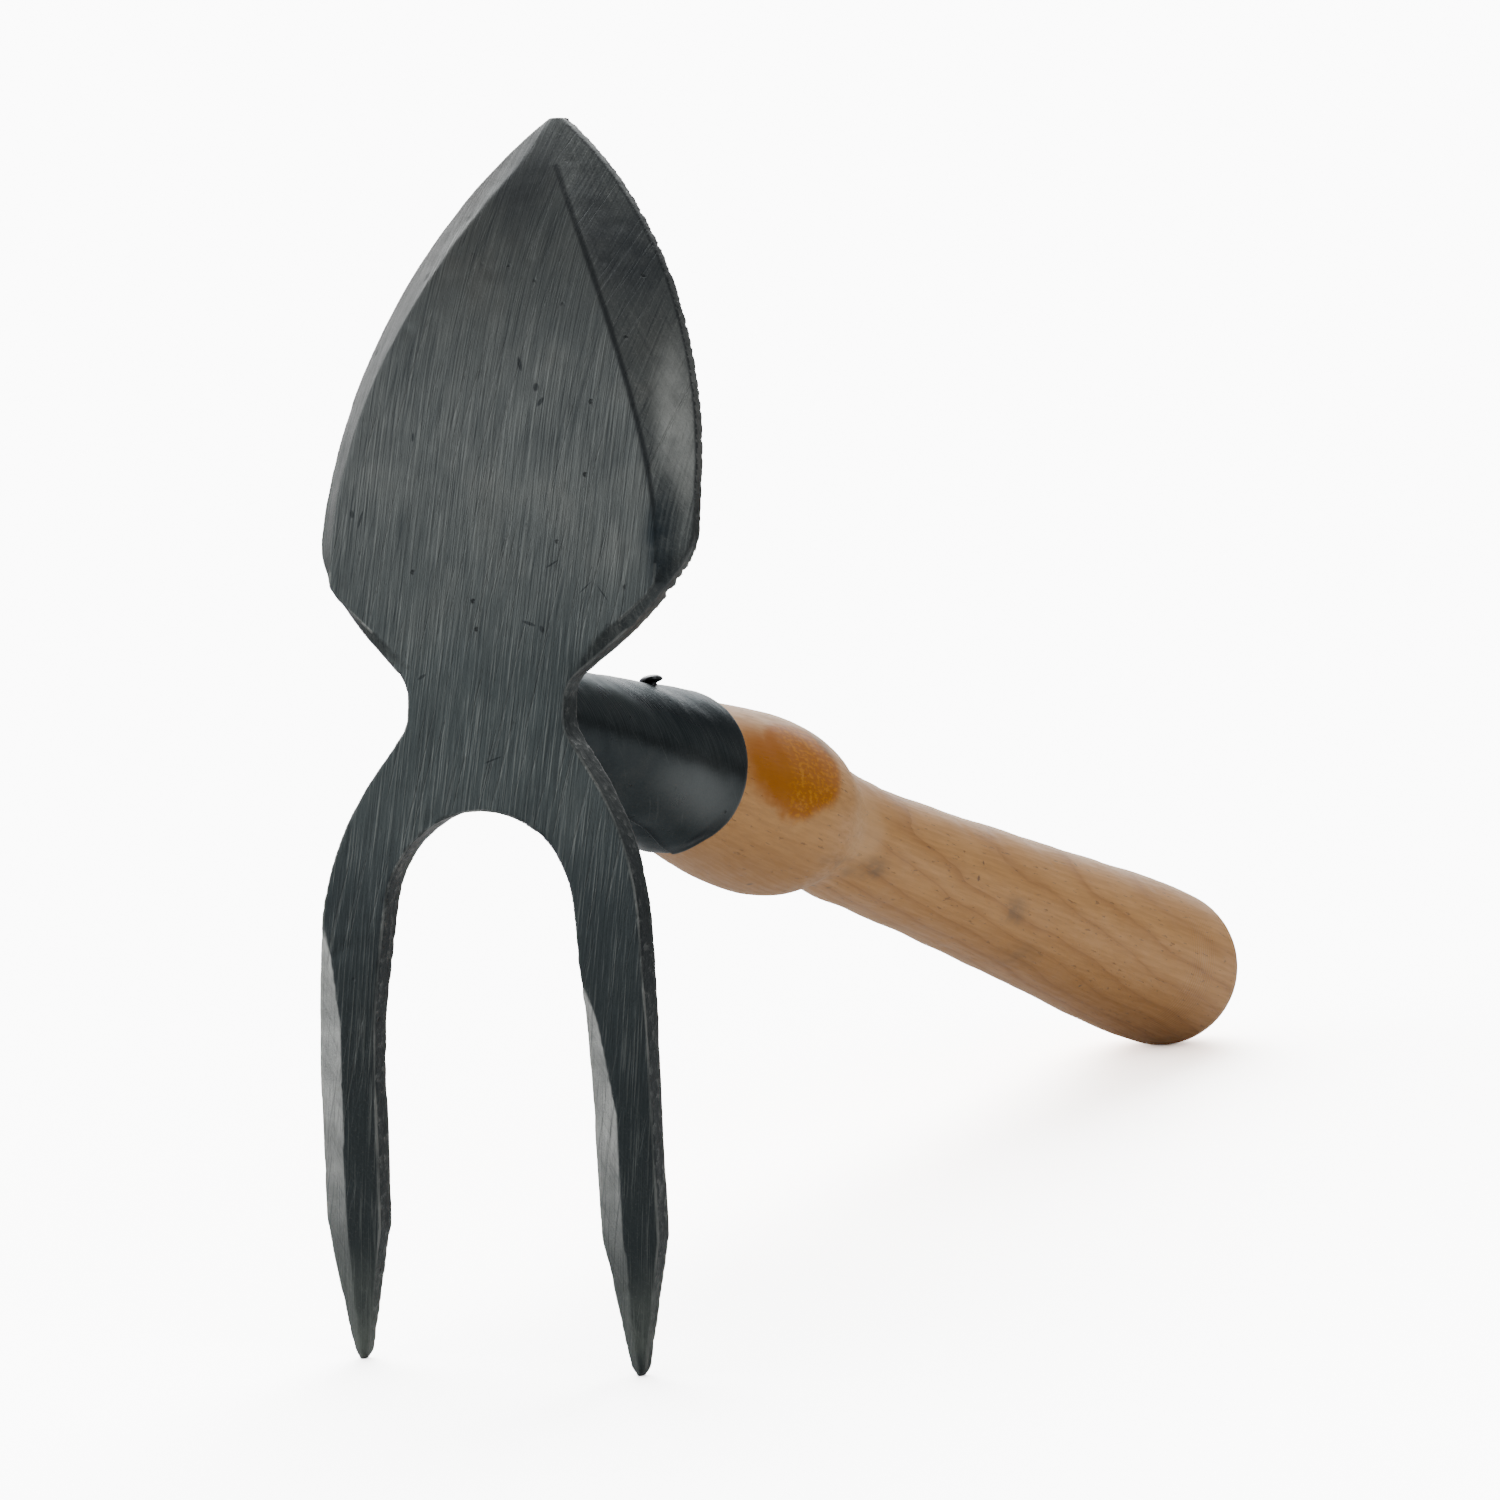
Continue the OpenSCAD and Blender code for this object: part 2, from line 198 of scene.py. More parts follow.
class Shader:
    """Short ways to add linked nodes to one material."""

    def __init__(self, name):
        self.material = bpy.data.materials.new(name)
        self.material.use_nodes = True
        self.tree = self.material.node_tree
        self.main = self.tree.nodes["Principled BSDF"]

    def add(self, kind, inputs=None, **settings):
        node = self.tree.nodes.new(kind)
        for key, value in settings.items():
            setattr(node, key, value)
        for key, value in (inputs or {}).items():
            self.put(node.inputs[key], value)
        return node

    def put(self, socket, value):
        if isinstance(value, bpy.types.NodeSocket):
            self.tree.links.new(value, socket)
        else:
            socket.default_value = value

    def place(self):
        """Where a point is, in the row frame."""
        return self.add("ShaderNodeTexCoord").outputs["Object"]

    def attribute(self, name, vector=False):
        node = self.add("ShaderNodeAttribute", attribute_name=name)
        return node.outputs["Vector" if vector else "Fac"]

    def stretch(self, vector, scale, turn=(0, 0, 0)):
        """The vector turned by degrees, then scaled."""
        turned = self.add("ShaderNodeMapping", {
            "Vector": vector, "Rotation": [math.radians(a) for a in turn]})
        return self.add("ShaderNodeMapping", {
            "Vector": turned.outputs[0], "Scale": scale}).outputs[0]

    def noise(self, vector, scale=1.0, detail=3.0, rough=0.55, warp=0.0):
        return self.add("ShaderNodeTexNoise", {
            "Vector": vector, "Scale": scale, "Detail": detail, "Roughness": rough,
            "Distortion": warp}).outputs["Fac"]

    def cells(self, vector, scale):
        """Distance to the nearest of many scattered points."""
        return self.add("ShaderNodeTexVoronoi", {
            "Vector": vector, "Scale": scale}).outputs["Distance"]

    def calc(self, operation, a, b=0.0, c=0.0, clamp=False):
        return self.add("ShaderNodeMath", {0: a, 1: b, 2: c},
                        operation=operation, use_clamp=clamp).outputs[0]

    def step(self, value, low, high, to_low=0.0, to_high=1.0):
        """to_low below low, to_high above high, with an easy curve between."""
        return self.add("ShaderNodeMapRange", {
            "Value": value, "From Min": low, "From Max": high,
            "To Min": to_low, "To Max": to_high}, interpolation_type="SMOOTHSTEP").outputs[0]

    def flat_place(self, vector):
        """The vector seen from the front: across, then up."""
        x, _, z = self.split(vector)
        return self.add("ShaderNodeCombineXYZ", {0: x, 1: z}).outputs[0]

    def split(self, vector):
        node = self.add("ShaderNodeSeparateXYZ", {0: vector})
        return node.outputs[0], node.outputs[1], node.outputs[2]

    def mix(self, amount, a, b, how="MIX"):
        node = self.add("ShaderNodeMix", {0: amount, 6: rgba(a), 7: rgba(b)},
                        data_type="RGBA", blend_type=how)
        return node.outputs[2]

    def ramp(self, value, stops):
        """Colour by value, from (position, colour) stops."""
        node = self.add("ShaderNodeValToRGB", {0: value})
        items = node.color_ramp.elements
        while len(items) < len(stops):
            items.new(0.5)
        for item, (position, colour) in zip(items, stops):
            item.position, item.color = position, rgba(colour)
        return node.outputs[0]

    def spot(self, vector, centre, size, turn=0.0, soft=0.5):
        """1 inside an ellipse of that size, fading to 0 at its outline."""
        local = self.add("ShaderNodeMapping", {
            "Vector": vector, "Location": (*centre, 0),
            "Rotation": (0, 0, math.radians(turn)), "Scale": (*size, 1e9)},
            vector_type="TEXTURE").outputs[0]
        far = self.add("ShaderNodeVectorMath", {0: local}, operation="LENGTH").outputs["Value"]
        return self.step(far, 1 - soft, 1.0, 1.0, 0.0)

    def bump(self, height, depth, strength=1.0, under=None):
        """Surface normal shaken by a height from 0 to 1 that stands for depth metres."""
        inputs = {"Height": height, "Distance": depth, "Strength": strength}
        if under is not None:
            inputs["Normal"] = under
        return self.add("ShaderNodeBump", inputs).outputs[0]

    def finish(self, **inputs):
        """Sets the shader's own sockets by name, with _ for a space."""
        for key, value in inputs.items():
            value = rgba(value) if key == "Base_Color" else value
            self.put(self.main.inputs[key.replace("_", " ")], value)
        return self.material


def rgba(colour):
    if isinstance(colour, bpy.types.NodeSocket) or len(colour) == 4:
        return colour
    return (*colour, 1.0)


# ------------------------------------------------------------------- materials

# Scratches on the plate: place across and up it as seen from the front, half width, half
# length, all in millimetres, and the turn of each from upright in degrees. They and the
# patches below are laid on along Y, so the back has them too.
SCRATCHES = (
    (4, 172, 0.5, 1.6, 20), (7.5, 168, 0.7, 0.9, 0), (8.6, 165.5, 0.5, 1.2, -40),
    (-27.5, 147, 0.5, 0.9, 10), (-25.8, 146, 0.3, 2.0, -15), (12, 138, 0.2, 1.6, -60),
    (8, 128, 0.35, 1.7, 72), (10.5, 127, 0.5, 0.9, 30), (-20, 118, 0.22, 4.6, 52),
    (-12.5, 119, 0.35, 1.2, -60), (18.5, 134, 0.16, 1.9, -48), (21.8, 133, 0.16, 2.2, 40),
    (-16, 160, 0.3, 1.0, 0), (2, 105, 0.2, 2.2, -70), (-6, 92, 0.3, 1.6, 15),
)

# Soft patches on the plate; those marked are painted shade, painted dark reflections and painted
# highlights: place, half sizes and turn as above, then strength and colour
PLATE_PATCHES_AND_PAINTED_LIGHT = (
    # painted shade in the tip, where the plate curls back
    (-1, 203, 8, 12, 0, 0.65, (0.030, 0.035, 0.039)),
    # painted dark reflection on the top of the right flange, near the fold
    (13, 196, 3, 14, 28, 0.5, (0.034, 0.038, 0.042)),
    (20, 190, 7, 14, 32, 0.7, (0.030, 0.036, 0.041)),
    # painted shade at the foot of the right flange
    (31.8, 142, 3.6, 13, 0, 0.95, (0.014, 0.021, 0.026)),
    # painted highlights along the right flange's outer edge
    (31.6, 163, 3.6, 17, 12, 0.9, (0.27, 0.28, 0.27)),
    (34.8, 152, 1.8, 9, 0, 0.5, (0.22, 0.23, 0.22)),
    # darker at the top of the left strip
    (-16, 197, 4.5, 20, -38, 1.0, (0.034, 0.036, 0.034)),
    (-23, 184, 4, 16, -36, 0.5, (0.060, 0.064, 0.062)),
    # darker tone on the panel
    (8, 150, 8, 14, -20, 0.2, (0.055, 0.064, 0.066)),
    (-6, 122, 7, 6, 0, 0.3, (0.045, 0.055, 0.058)),
)


def forged_steel():
    """Blackened plate brushed lengthwise, worn to brighter steel at its arrises with a painted
    highlight along them, and with patches of painted shade, painted reflection and painted
    highlight.
    """
    s = Shader("forged_steel")
    at = s.place()
    edge, ground, fold_shade = s.attribute("edge"), s.attribute("ground"), s.attribute("fold_shade")
    flat = s.flat_place(at)
    height = s.split(at)[2]

    brushed = s.noise(s.stretch(flat, (2900, 60, 1), (0, 0, 5)), detail=3, rough=0.6, warp=0.3)
    slanted = s.noise(s.stretch(flat, (1500, 34, 1), (0, 0, 13)), detail=2, rough=0.5, warp=0.3)
    filed = s.noise(s.stretch(flat, (2200, 90, 1), (0, 0, -32)), detail=2, rough=0.6, warp=0.4)
    # The narrow sides of the plate have a plain grain instead
    side = s.attribute("side")
    plain = s.noise(at, 700, detail=3)
    brushed, slanted, filed = (
        s.calc("MULTIPLY_ADD", s.calc("SUBTRACT", plain, lines), side, lines)
        for lines in (brushed, slanted, filed))
    mottle = s.noise(at, 48, detail=4, rough=0.6, warp=0.4)
    clouds = s.noise(at, 160, detail=3, rough=0.6)
    grains = s.noise(at, 2300, detail=3, rough=0.7)
    pits = s.calc("MULTIPLY", s.step(s.cells(at, 260), 0.13, 0.04),
                  s.step(s.noise(at, 90, detail=1), 0.54, 0.64))

    # Black oxide over the plate, darker towards the neck; on the tines it is darkened further as a
    # painted dark reflection, except on their left-facing ground facets, which are given a lit
    # colour of their own
    colour = s.ramp(mottle, [(0.3, (0.071, 0.080, 0.081)), (0.5, (0.083, 0.091, 0.090)),
                             (0.7, (0.095, 0.100, 0.096))])
    low = s.step(height, 160 * MM, 112 * MM, 0, 0.72)
    colour = s.mix(low, colour, (0.030, 0.040, 0.042))
    tines = s.step(height, 100 * MM, 80 * MM, 0, 0.55)
    colour = s.mix(tines, colour, (0.018, 0.024, 0.027))
    # Painted light: the left-facing ground facets of the tines are bare ground steel, lightened
    # further as a painted reflection of the soft box on the left; they darken towards the tips
    lit_facet_colour = s.mix(s.step(clouds, 0.35, 0.65), (0.28, 0.29, 0.285), (0.40, 0.41, 0.40))
    lit_facet_colour = s.mix(s.step(height, 46 * MM, 12 * MM), lit_facet_colour, (0.085, 0.095, 0.095))
    colour = s.mix(s.step(s.attribute("lit_left_facet"), 0.3, 0.7), colour, lit_facet_colour)
    colour = s.mix(s.step(brushed, 0.52, 0.68, 0, 0.4), colour, (0.16, 0.172, 0.166))
    colour = s.mix(s.step(brushed, 0.47, 0.34, 0, 0.5), colour, (0.030, 0.037, 0.040))
    colour = s.mix(s.step(slanted, 0.60, 0.72, 0, 0.13), colour, (0.19, 0.20, 0.195))
    colour = s.mix(s.step(slanted, 0.40, 0.31, 0, 0.38), colour, (0.024, 0.030, 0.033))

    # Oblique file marks and bare grain where the edges were ground
    cut = s.calc("MULTIPLY", ground, s.step(filed, 0.54, 0.68, 0, 0.12))
    colour = s.mix(cut, colour, (0.20, 0.208, 0.20))
    colour = s.mix(s.calc("MULTIPLY", ground, s.step(filed, 0.46, 0.34, 0, 0.2)), colour,
                   (0.026, 0.032, 0.035))
    speck = s.calc("MULTIPLY", ground, s.step(grains, 0.56, 0.7, 0, 0.35))
    colour = s.mix(speck, colour, (0.22, 0.225, 0.21))

    # Soft patches of darker tone, painted shade, painted dark reflection and painted highlight,
    # each with its place, size, turn, strength and colour
    for x, z, wide, long, turn, depth, tint in PLATE_PATCHES_AND_PAINTED_LIGHT:
        patch = s.spot(flat, (x * MM, z * MM), (wide * MM, long * MM), turn, soft=0.8)
        patch = s.calc("MULTIPLY", patch, s.step(clouds, 0.3, 0.6, 0.55 * depth, depth))
        colour = s.mix(patch, colour, tint)
    tips = s.calc("MULTIPLY", s.step(height, 24 * MM, 2 * MM, 0, 0.6),
                  s.step(mottle, 0.35, 0.6))
    colour = s.mix(tips, colour, (0.15, 0.17, 0.15))

    # A line of painted shade lies along the fold beside the right flange
    colour = s.mix(s.step(fold_shade, 0.3, 0.9, 0, 0.75), colour, (0.020, 0.024, 0.027))
    # Brighter steel along the arrises: partly wear, partly a painted highlight
    wear_and_highlight = s.calc("MULTIPLY", s.step(edge, 0.6, 1.0),
                  s.step(s.noise(at, 65, detail=2), 0.42, 0.6, 0.15, 0.55))
    colour = s.mix(wear_and_highlight, colour, (0.30, 0.31, 0.295))
    colour = s.mix(s.calc("MULTIPLY", pits, 0.8), colour, (0.018, 0.022, 0.024))
    for x, z, wide, long, turn in SCRATCHES:
        mark = s.spot(flat, (x * MM, z * MM), (wide * MM, long * MM), turn)
        colour = s.mix(s.calc("MULTIPLY", mark, 0.75), colour, (0.016, 0.02, 0.022))

    rough = s.calc("ADD", s.step(brushed, 0.35, 0.65, 0.45, 0.37),
                   s.step(mottle, 0.3, 0.7, 0.05, -0.04))
    rough = s.calc("SUBTRACT", rough, s.calc("MULTIPLY", wear_and_highlight, 0.1))
    rough = s.calc("ADD", rough, s.calc("MULTIPLY", ground, 0.04), clamp=True)

    lines = s.calc("ADD", s.calc("MULTIPLY", brushed, s.step(ground, 0, 1, 1.0, 0.5)),
                   s.step(slanted, 0.60, 0.70, 0, -0.4))
    lines = s.calc("ADD", lines, s.calc("MULTIPLY", filed, s.calc("MULTIPLY", ground, 0.4)))
    normal = s.bump(lines, 0.17 * MM)
    normal = s.bump(grains, s.step(ground, 0, 1, 0.05 * MM, 0.1 * MM), 0.8, normal)
    normal = s.bump(s.calc("SUBTRACT", 1.0, pits), 0.15 * MM, 1.0, normal)
    return s.finish(Base_Color=colour, Metallic=0.9, Roughness=rough, Normal=normal)


def socket_steel():
    """Rolled sheet, smoother than the plate, with scratches slanting round its top.

    The places of its patches are measured on the unrolled sheet, from the outer lip.
    """
    s = Shader("socket_steel")
    lay = s.attribute("lay", vector=True)
    at = s.place()
    edge, upper = s.attribute("edge"), s.attribute("upper")
    streaks = s.noise(s.stretch(lay, (40, 2400, 1), (0, 0, 33)), detail=3, rough=0.6, warp=0.2)
    cross = s.noise(s.stretch(lay, (60, 1700, 1), (0, 0, 58)), detail=2, rough=0.5)
    mottle = s.noise(at, 90, detail=4, rough=0.6, warp=0.5)
    grains = s.noise(at, 2300, detail=3, rough=0.65)
    pits = s.calc("MULTIPLY", s.step(s.cells(at, 360), 0.16, 0.05),
                  s.step(s.noise(at, 150, detail=1), 0.52, 0.62))
    colour = s.ramp(mottle, [(0.3, (0.036, 0.044, 0.047)), (0.5, (0.047, 0.055, 0.058)),
                             (0.72, (0.062, 0.069, 0.070))])
    brushed = s.calc("MULTIPLY", s.step(streaks, 0.50, 0.66, 0, 0.4), upper)
    colour = s.mix(brushed, colour, (0.10, 0.11, 0.11))
    colour = s.mix(s.calc("MULTIPLY", s.step(streaks, 0.47, 0.36, 0, 0.4), upper), colour,
                   (0.018, 0.023, 0.026))
    colour = s.mix(s.step(cross, 0.64, 0.72, 0, 0.3), colour, (0.14, 0.15, 0.145))
    around = s.split(lay)[0]
    colour = s.mix(s.step(around, 1.8 * MM, 0.4 * MM, 0, 0.8), colour, (0.012, 0.014, 0.016))
    # Painted dark reflection: a dark band at the bottom of the mouth, over the hammered-in dent
    mouth_dark_reflection = s.spot(lay, (6.5 * MM, 70.8 * MM), (6.5 * MM, 3.6 * MM), soft=0.4)
    colour = s.mix(s.calc("MULTIPLY", mouth_dark_reflection, 0.85), colour, (0.008, 0.010, 0.012))
    # Painted dark reflection: a long dark band down the upper right of the socket, made a little
    # glossier too
    painted_dark_band = s.spot(lay, (27 * MM, 58 * MM), (7.5 * MM, 34 * MM), soft=0.8)
    colour = s.mix(s.calc("MULTIPLY", painted_dark_band, 0.85), colour, (0.012, 0.017, 0.020))
    lap = s.step(around, 68 * MM, 75 * MM)  # the sheet beside the seam's other lip
    colour = s.mix(s.calc("MULTIPLY", lap, 0.8), colour, (0.012, 0.015, 0.017))
    # Painted reflection of the floor: a lighter patch low on the right of the socket
    painted_floor_reflection = s.spot(lay, (12 * MM, 60 * MM), (8 * MM, 22 * MM), soft=0.9)
    colour = s.mix(s.calc("MULTIPLY", painted_floor_reflection, 0.75), colour, (0.15, 0.163, 0.165))
    colour = s.mix(s.calc("MULTIPLY", edge, 0.6), colour, (0.22, 0.235, 0.23))
    colour = s.mix(s.calc("MULTIPLY", pits, 0.8), colour, (0.02, 0.024, 0.026))
    rough = s.calc("ADD", s.step(mottle, 0.3, 0.7, 0.34, 0.27),
                   s.calc("MULTIPLY", brushed, 0.08))
    rough = s.calc("SUBTRACT", rough, s.calc("MULTIPLY", s.calc("MAXIMUM", painted_dark_band, lap), 0.1))
    normal = s.bump(streaks, s.calc("MULTIPLY_ADD", upper, 0.06 * MM, 0.012 * MM))
    normal = s.bump(grains, 0.035 * MM, 0.7, normal)
    normal = s.bump(s.calc("SUBTRACT", 1.0, pits), 0.12 * MM, 1.0, normal)
    return s.finish(Base_Color=colour, Metallic=0.9, Roughness=rough, Normal=normal,
                    Specular_Tint=(0.48, 0.50, 0.51, 1.0))


def weld_steel():
    """Scaly, heat-darkened bead."""
    s = Shader("weld_steel")
    at = s.place()
    scale = s.noise(at, 420, detail=5, rough=0.7)
    tint = s.noise(at, 140, detail=2)
    colour = s.ramp(scale, [(0.3, (0.022, 0.024, 0.026)), (0.55, (0.055, 0.056, 0.058)),
                            (0.75, (0.12, 0.115, 0.105))])
    colour = s.mix(s.step(tint, 0.5, 0.7, 0, 0.35), colour, (0.075, 0.055, 0.042))
    normal = s.bump(scale, 0.12 * MM)
    return s.finish(Base_Color=colour, Metallic=0.8, Normal=normal,
                    Roughness=s.step(scale, 0.3, 0.7, 0.58, 0.40))


def nail_steel():
    """Glossy black, a little uneven."""
    s = Shader("nail_steel")
    at = s.place()
    blows = s.noise(at, 700, detail=2)
    colour = s.ramp(blows, [(0.35, (0.02, 0.023, 0.026)), (0.7, (0.07, 0.075, 0.08))])
    normal = s.bump(s.noise(at, 1800, detail=3), 0.06 * MM)
    return s.finish(Base_Color=colour, Metallic=0.85, Normal=normal,
                    Roughness=s.step(blows, 0.3, 0.7, 0.10, 0.24))


RING_TURN = math.radians(42)  # side of the handle where the growth rings lie flat
RING_GAP = 4.4 * MM
RING_DRIFT = 0.062  # the trunk's axis leans from the handle's by this slope
PITH_GAP = 55 * MM  # from the handle's axis to the tree's heart
LAY_R = 15 * MM  # radius at which turns are measured out as lengths


def lay_of(turn, s):
    """Place on the unrolled handle: round from the flat of the rings, and along."""
    around = (turn - RING_TURN + math.pi) % (2 * math.pi) - math.pi
    return around * LAY_R, s


def on_lay(degrees, s_mm):
    return lay_of(math.radians(degrees), s_mm * MM)


# Hand grime on the wood: place round and along it, in degrees and mm, half sizes in mm,
# and strength
SMUDGES = (
    (-32, 146, 5, 9, 0.6), (-20, 214, 5, 9, 0.55), (-58, 230, 7, 14, 0.4),
    (-44, 138, 3, 7, 0.4), (47, 113, 5, 5, 0.45), (-34, 124, 2, 20, 0.3),
    (120, 190, 7, 30, 0.3), (-150, 160, 8, 25, 0.3), (160, 270, 8, 18, 0.25),
)


def handle_wood():
    """Pale hardwood with flat-sawn rings, a resinous stain, and the grey of use."""
    s = Shader("handle_wood")
    grain, lay = s.attribute("grain", vector=True), s.attribute("lay", vector=True)
    x, h, along = s.split(grain)
    wander = s.noise(s.stretch(grain, (38, 38, 13)), detail=2, rough=0.5)
    ripple = s.noise(s.stretch(grain, (260, 260, 30)), detail=2, rough=0.5)

    # Distance from the pith, counted in rings
    drift = s.calc("MULTIPLY", along, RING_DRIFT)
    px = s.calc("ADD", x, PITH_GAP * math.cos(RING_TURN))
    ph = s.calc("ADD", h, PITH_GAP * math.sin(RING_TURN))
    far = s.calc("SQRT", s.calc("ADD", s.calc("MULTIPLY", px, px),
                                s.calc("MULTIPLY", ph, ph)))
    rings = s.calc("DIVIDE", s.calc("SUBTRACT", s.calc("ADD", far, drift), PITH_GAP),
                   RING_GAP)
    rings = s.calc("ADD", rings, s.calc("MULTIPLY_ADD", wander, 2.4, -1.2))
    rings = s.calc("ADD", rings, s.calc("MULTIPLY_ADD", ripple, 0.3, -0.15))
    phase = s.calc("FRACT", rings)
    which = s.noise(s.add("ShaderNodeCombineXYZ", {
        0: s.calc("FLOOR", rings), 1: 0.37, 2: 0.81}).outputs[0], 7.3, detail=0)

    wood = s.ramp(phase, [(0.0, (0.38, 0.165, 0.045)), (0.08, (0.55, 0.270, 0.086)),
                          (0.35, (0.66, 0.345, 0.122)), (0.75, (0.57, 0.285, 0.090)),
                          (0.93, (0.46, 0.210, 0.058)), (1.0, (0.38, 0.165, 0.045))])
    plain = s.mix(s.noise(grain, 38, detail=3), (0.66, 0.345, 0.122), (0.56, 0.275, 0.084))
    past = s.step(along, 112 * MM, 150 * MM, 0.25, 1.0)  # the rings hardly show on the swell
    wood = s.mix(s.calc("MULTIPLY", past, s.step(which, 0.35, 0.65, 0.3, 0.75)), plain, wood)
    fibres = s.noise(s.stretch(grain, (1300, 1300, 45)), detail=4, rough=0.6)
    wood = s.mix(s.step(fibres, 0.35, 0.65, 0.0, 0.2), wood, (0.20, 0.085, 0.032))
    flecks = s.noise(s.stretch(grain, (1500, 1500, 260)), detail=2, rough=0.5)
    wood = s.mix(s.step(flecks, 0.64, 0.72, 0, 0.5), wood, (0.13, 0.055, 0.022))

    # Amber stain beside the socket, mottled inside, with a darker outline
    blot = s.noise(s.stretch(lay, (210, 140, 1)), detail=3, rough=0.6)
    shaken = s.add("ShaderNodeVectorMath", {0: lay, 1: s.add("ShaderNodeCombineXYZ", {
        0: s.calc("MULTIPLY_ADD", blot, 5 * MM, -2.5 * MM),
        1: s.calc("MULTIPLY_ADD", blot, 4 * MM, -2 * MM)}).outputs[0]},
        operation="ADD").outputs[0]
    stain = s.spot(shaken, on_lay(20, 97), (10.5 * MM, 20 * MM), turn=-14, soft=0.25)
    tail = s.spot(shaken, on_lay(16, 82), (10 * MM, 14 * MM), soft=0.8)
    scales = s.step(s.noise(s.stretch(lay, (1500, 600, 1)), detail=2), 0.47, 0.62)
    scales = s.calc("MULTIPLY", scales, s.step(along, 88 * MM, 96 * MM))
    amber = s.mix(scales, (0.40, 0.122, 0.002), (0.54, 0.20, 0.004))
    stain = s.calc("MAXIMUM", stain, tail)
    wood = s.mix(s.calc("MULTIPLY", stain, 0.96), wood, amber)

    # Painted light: a lighter patch on the right side, where the swell falls away to the waist
    pale = s.spot(shaken, on_lay(-2, 133), (13 * MM, 16 * MM), soft=0.6)
    wood = s.mix(s.calc("MULTIPLY", pale, 0.45), wood, (0.74, 0.45, 0.22))

    # Grey smudges, and the underside made darker and browner as painted shade
    for degrees, s_mm, wide, long, depth in SMUDGES:
        smudge = s.spot(shaken, on_lay(degrees, s_mm), (wide * MM, long * MM), soft=0.9)
        smudge = s.calc("MULTIPLY", smudge, s.step(blot, 0.3, 0.6, 0.3, 1.0))
        wood = s.mix(s.calc("MULTIPLY", smudge, depth), wood, (0.12, 0.085, 0.055))
    # Painted shade: the underside is made darker and browner
    under = s.step(h, -4 * MM, -17 * MM, 0, 0.55)
    wood = s.mix(under, wood, (0.30, 0.135, 0.036))
    dots = s.calc("MULTIPLY", s.step(s.cells(grain, 110), 0.09, 0.04),
                  s.step(s.noise(grain, 45, detail=1), 0.5, 0.62))
    wood = s.mix(s.calc("MULTIPLY", dots, 0.7), wood, (0.10, 0.055, 0.03))

    # Marks of the turning tool near the butt
    tool = s.calc("SINE", s.calc("MULTIPLY", along, 2 * math.pi / (1.3 * MM)))
    tool = s.calc("MULTIPLY", tool, s.calc("MULTIPLY", s.step(along, 306 * MM, 314 * MM),
                                           s.step(along, 330 * MM, 322 * MM)))
    wood = s.mix(s.step(tool, 0.2, 1.0, 0, 0.2), wood, (0.20, 0.085, 0.035))

    rough = s.calc("ADD", s.step(fibres, 0.3, 0.7, 0.40, 0.50),
                   s.calc("MULTIPLY", stain, -0.08))
    normal = s.bump(fibres, 0.05 * MM, 0.7)
    normal = s.bump(s.calc("SUBTRACT", tool, s.step(flecks, 0.66, 0.74, 0, 2)),
                    0.03 * MM, 0.6, normal)
    return s.finish(Base_Color=wood, Roughness=rough, Normal=normal,
                    Specular_IOR_Level=s.step(stain, 0.0, 1.0, 0.3, 0.12))


# ------------------------------------------------------------------------ head

VOXEL = 0.45 * MM
SNAP = 0.55 * MM  # points nearer than this to an arris are put on it
WEAR_AND_HIGHLIGHT = 0.65 * MM  # how far the wear of an arris, and the highlight painted along it, spreads
FOLD_SHADE = 0.75 * MM  # half width of the painted shade along the fold
ARRIS, CREASE = 50, 8  # least angles, in degrees, between faces that meet in each


def lines_where(shape, wanted):
    """Tree of points along the shape's convex edges that pass a test of angle and place."""
    spots = []
    for edge in shape.edges:
        if len(edge.link_faces) == 2 and edge.is_convex:
            a, b = edge.verts[0].co, edge.verts[1].co
            if wanted(math.degrees(edge.calc_face_angle(0)), (a + b) / 2):
                count = max(1, int((b - a).length / (0.05 * MM)))
                spots += [a.lerp(b, i / count) for i in range(count + 1)]
    tree = KDTree(len(spots))
    for i, point in enumerate(spots):
        tree.insert(point, i)
    tree.balance()
    return tree


def ease(obj, points, weight, rounds):
    """Moves each row of values part of the way to its neighbours' mean, rounds times."""
    pairs = np.empty(len(obj.data.edges) * 2, dtype=np.int64)
    obj.data.edges.foreach_get("vertices", pairs)
    one, other = pairs[::2], pairs[1::2]
    count = np.bincount(pairs, minlength=len(points))[:, None]
    for _ in range(rounds):
        total = np.stack([
            np.bincount(one, column[other], len(points))
            + np.bincount(other, column[one], len(points)) for column in points.T], axis=1)
        points = points + 0.5 * weight[:, None] * (total / count - points)
    return points


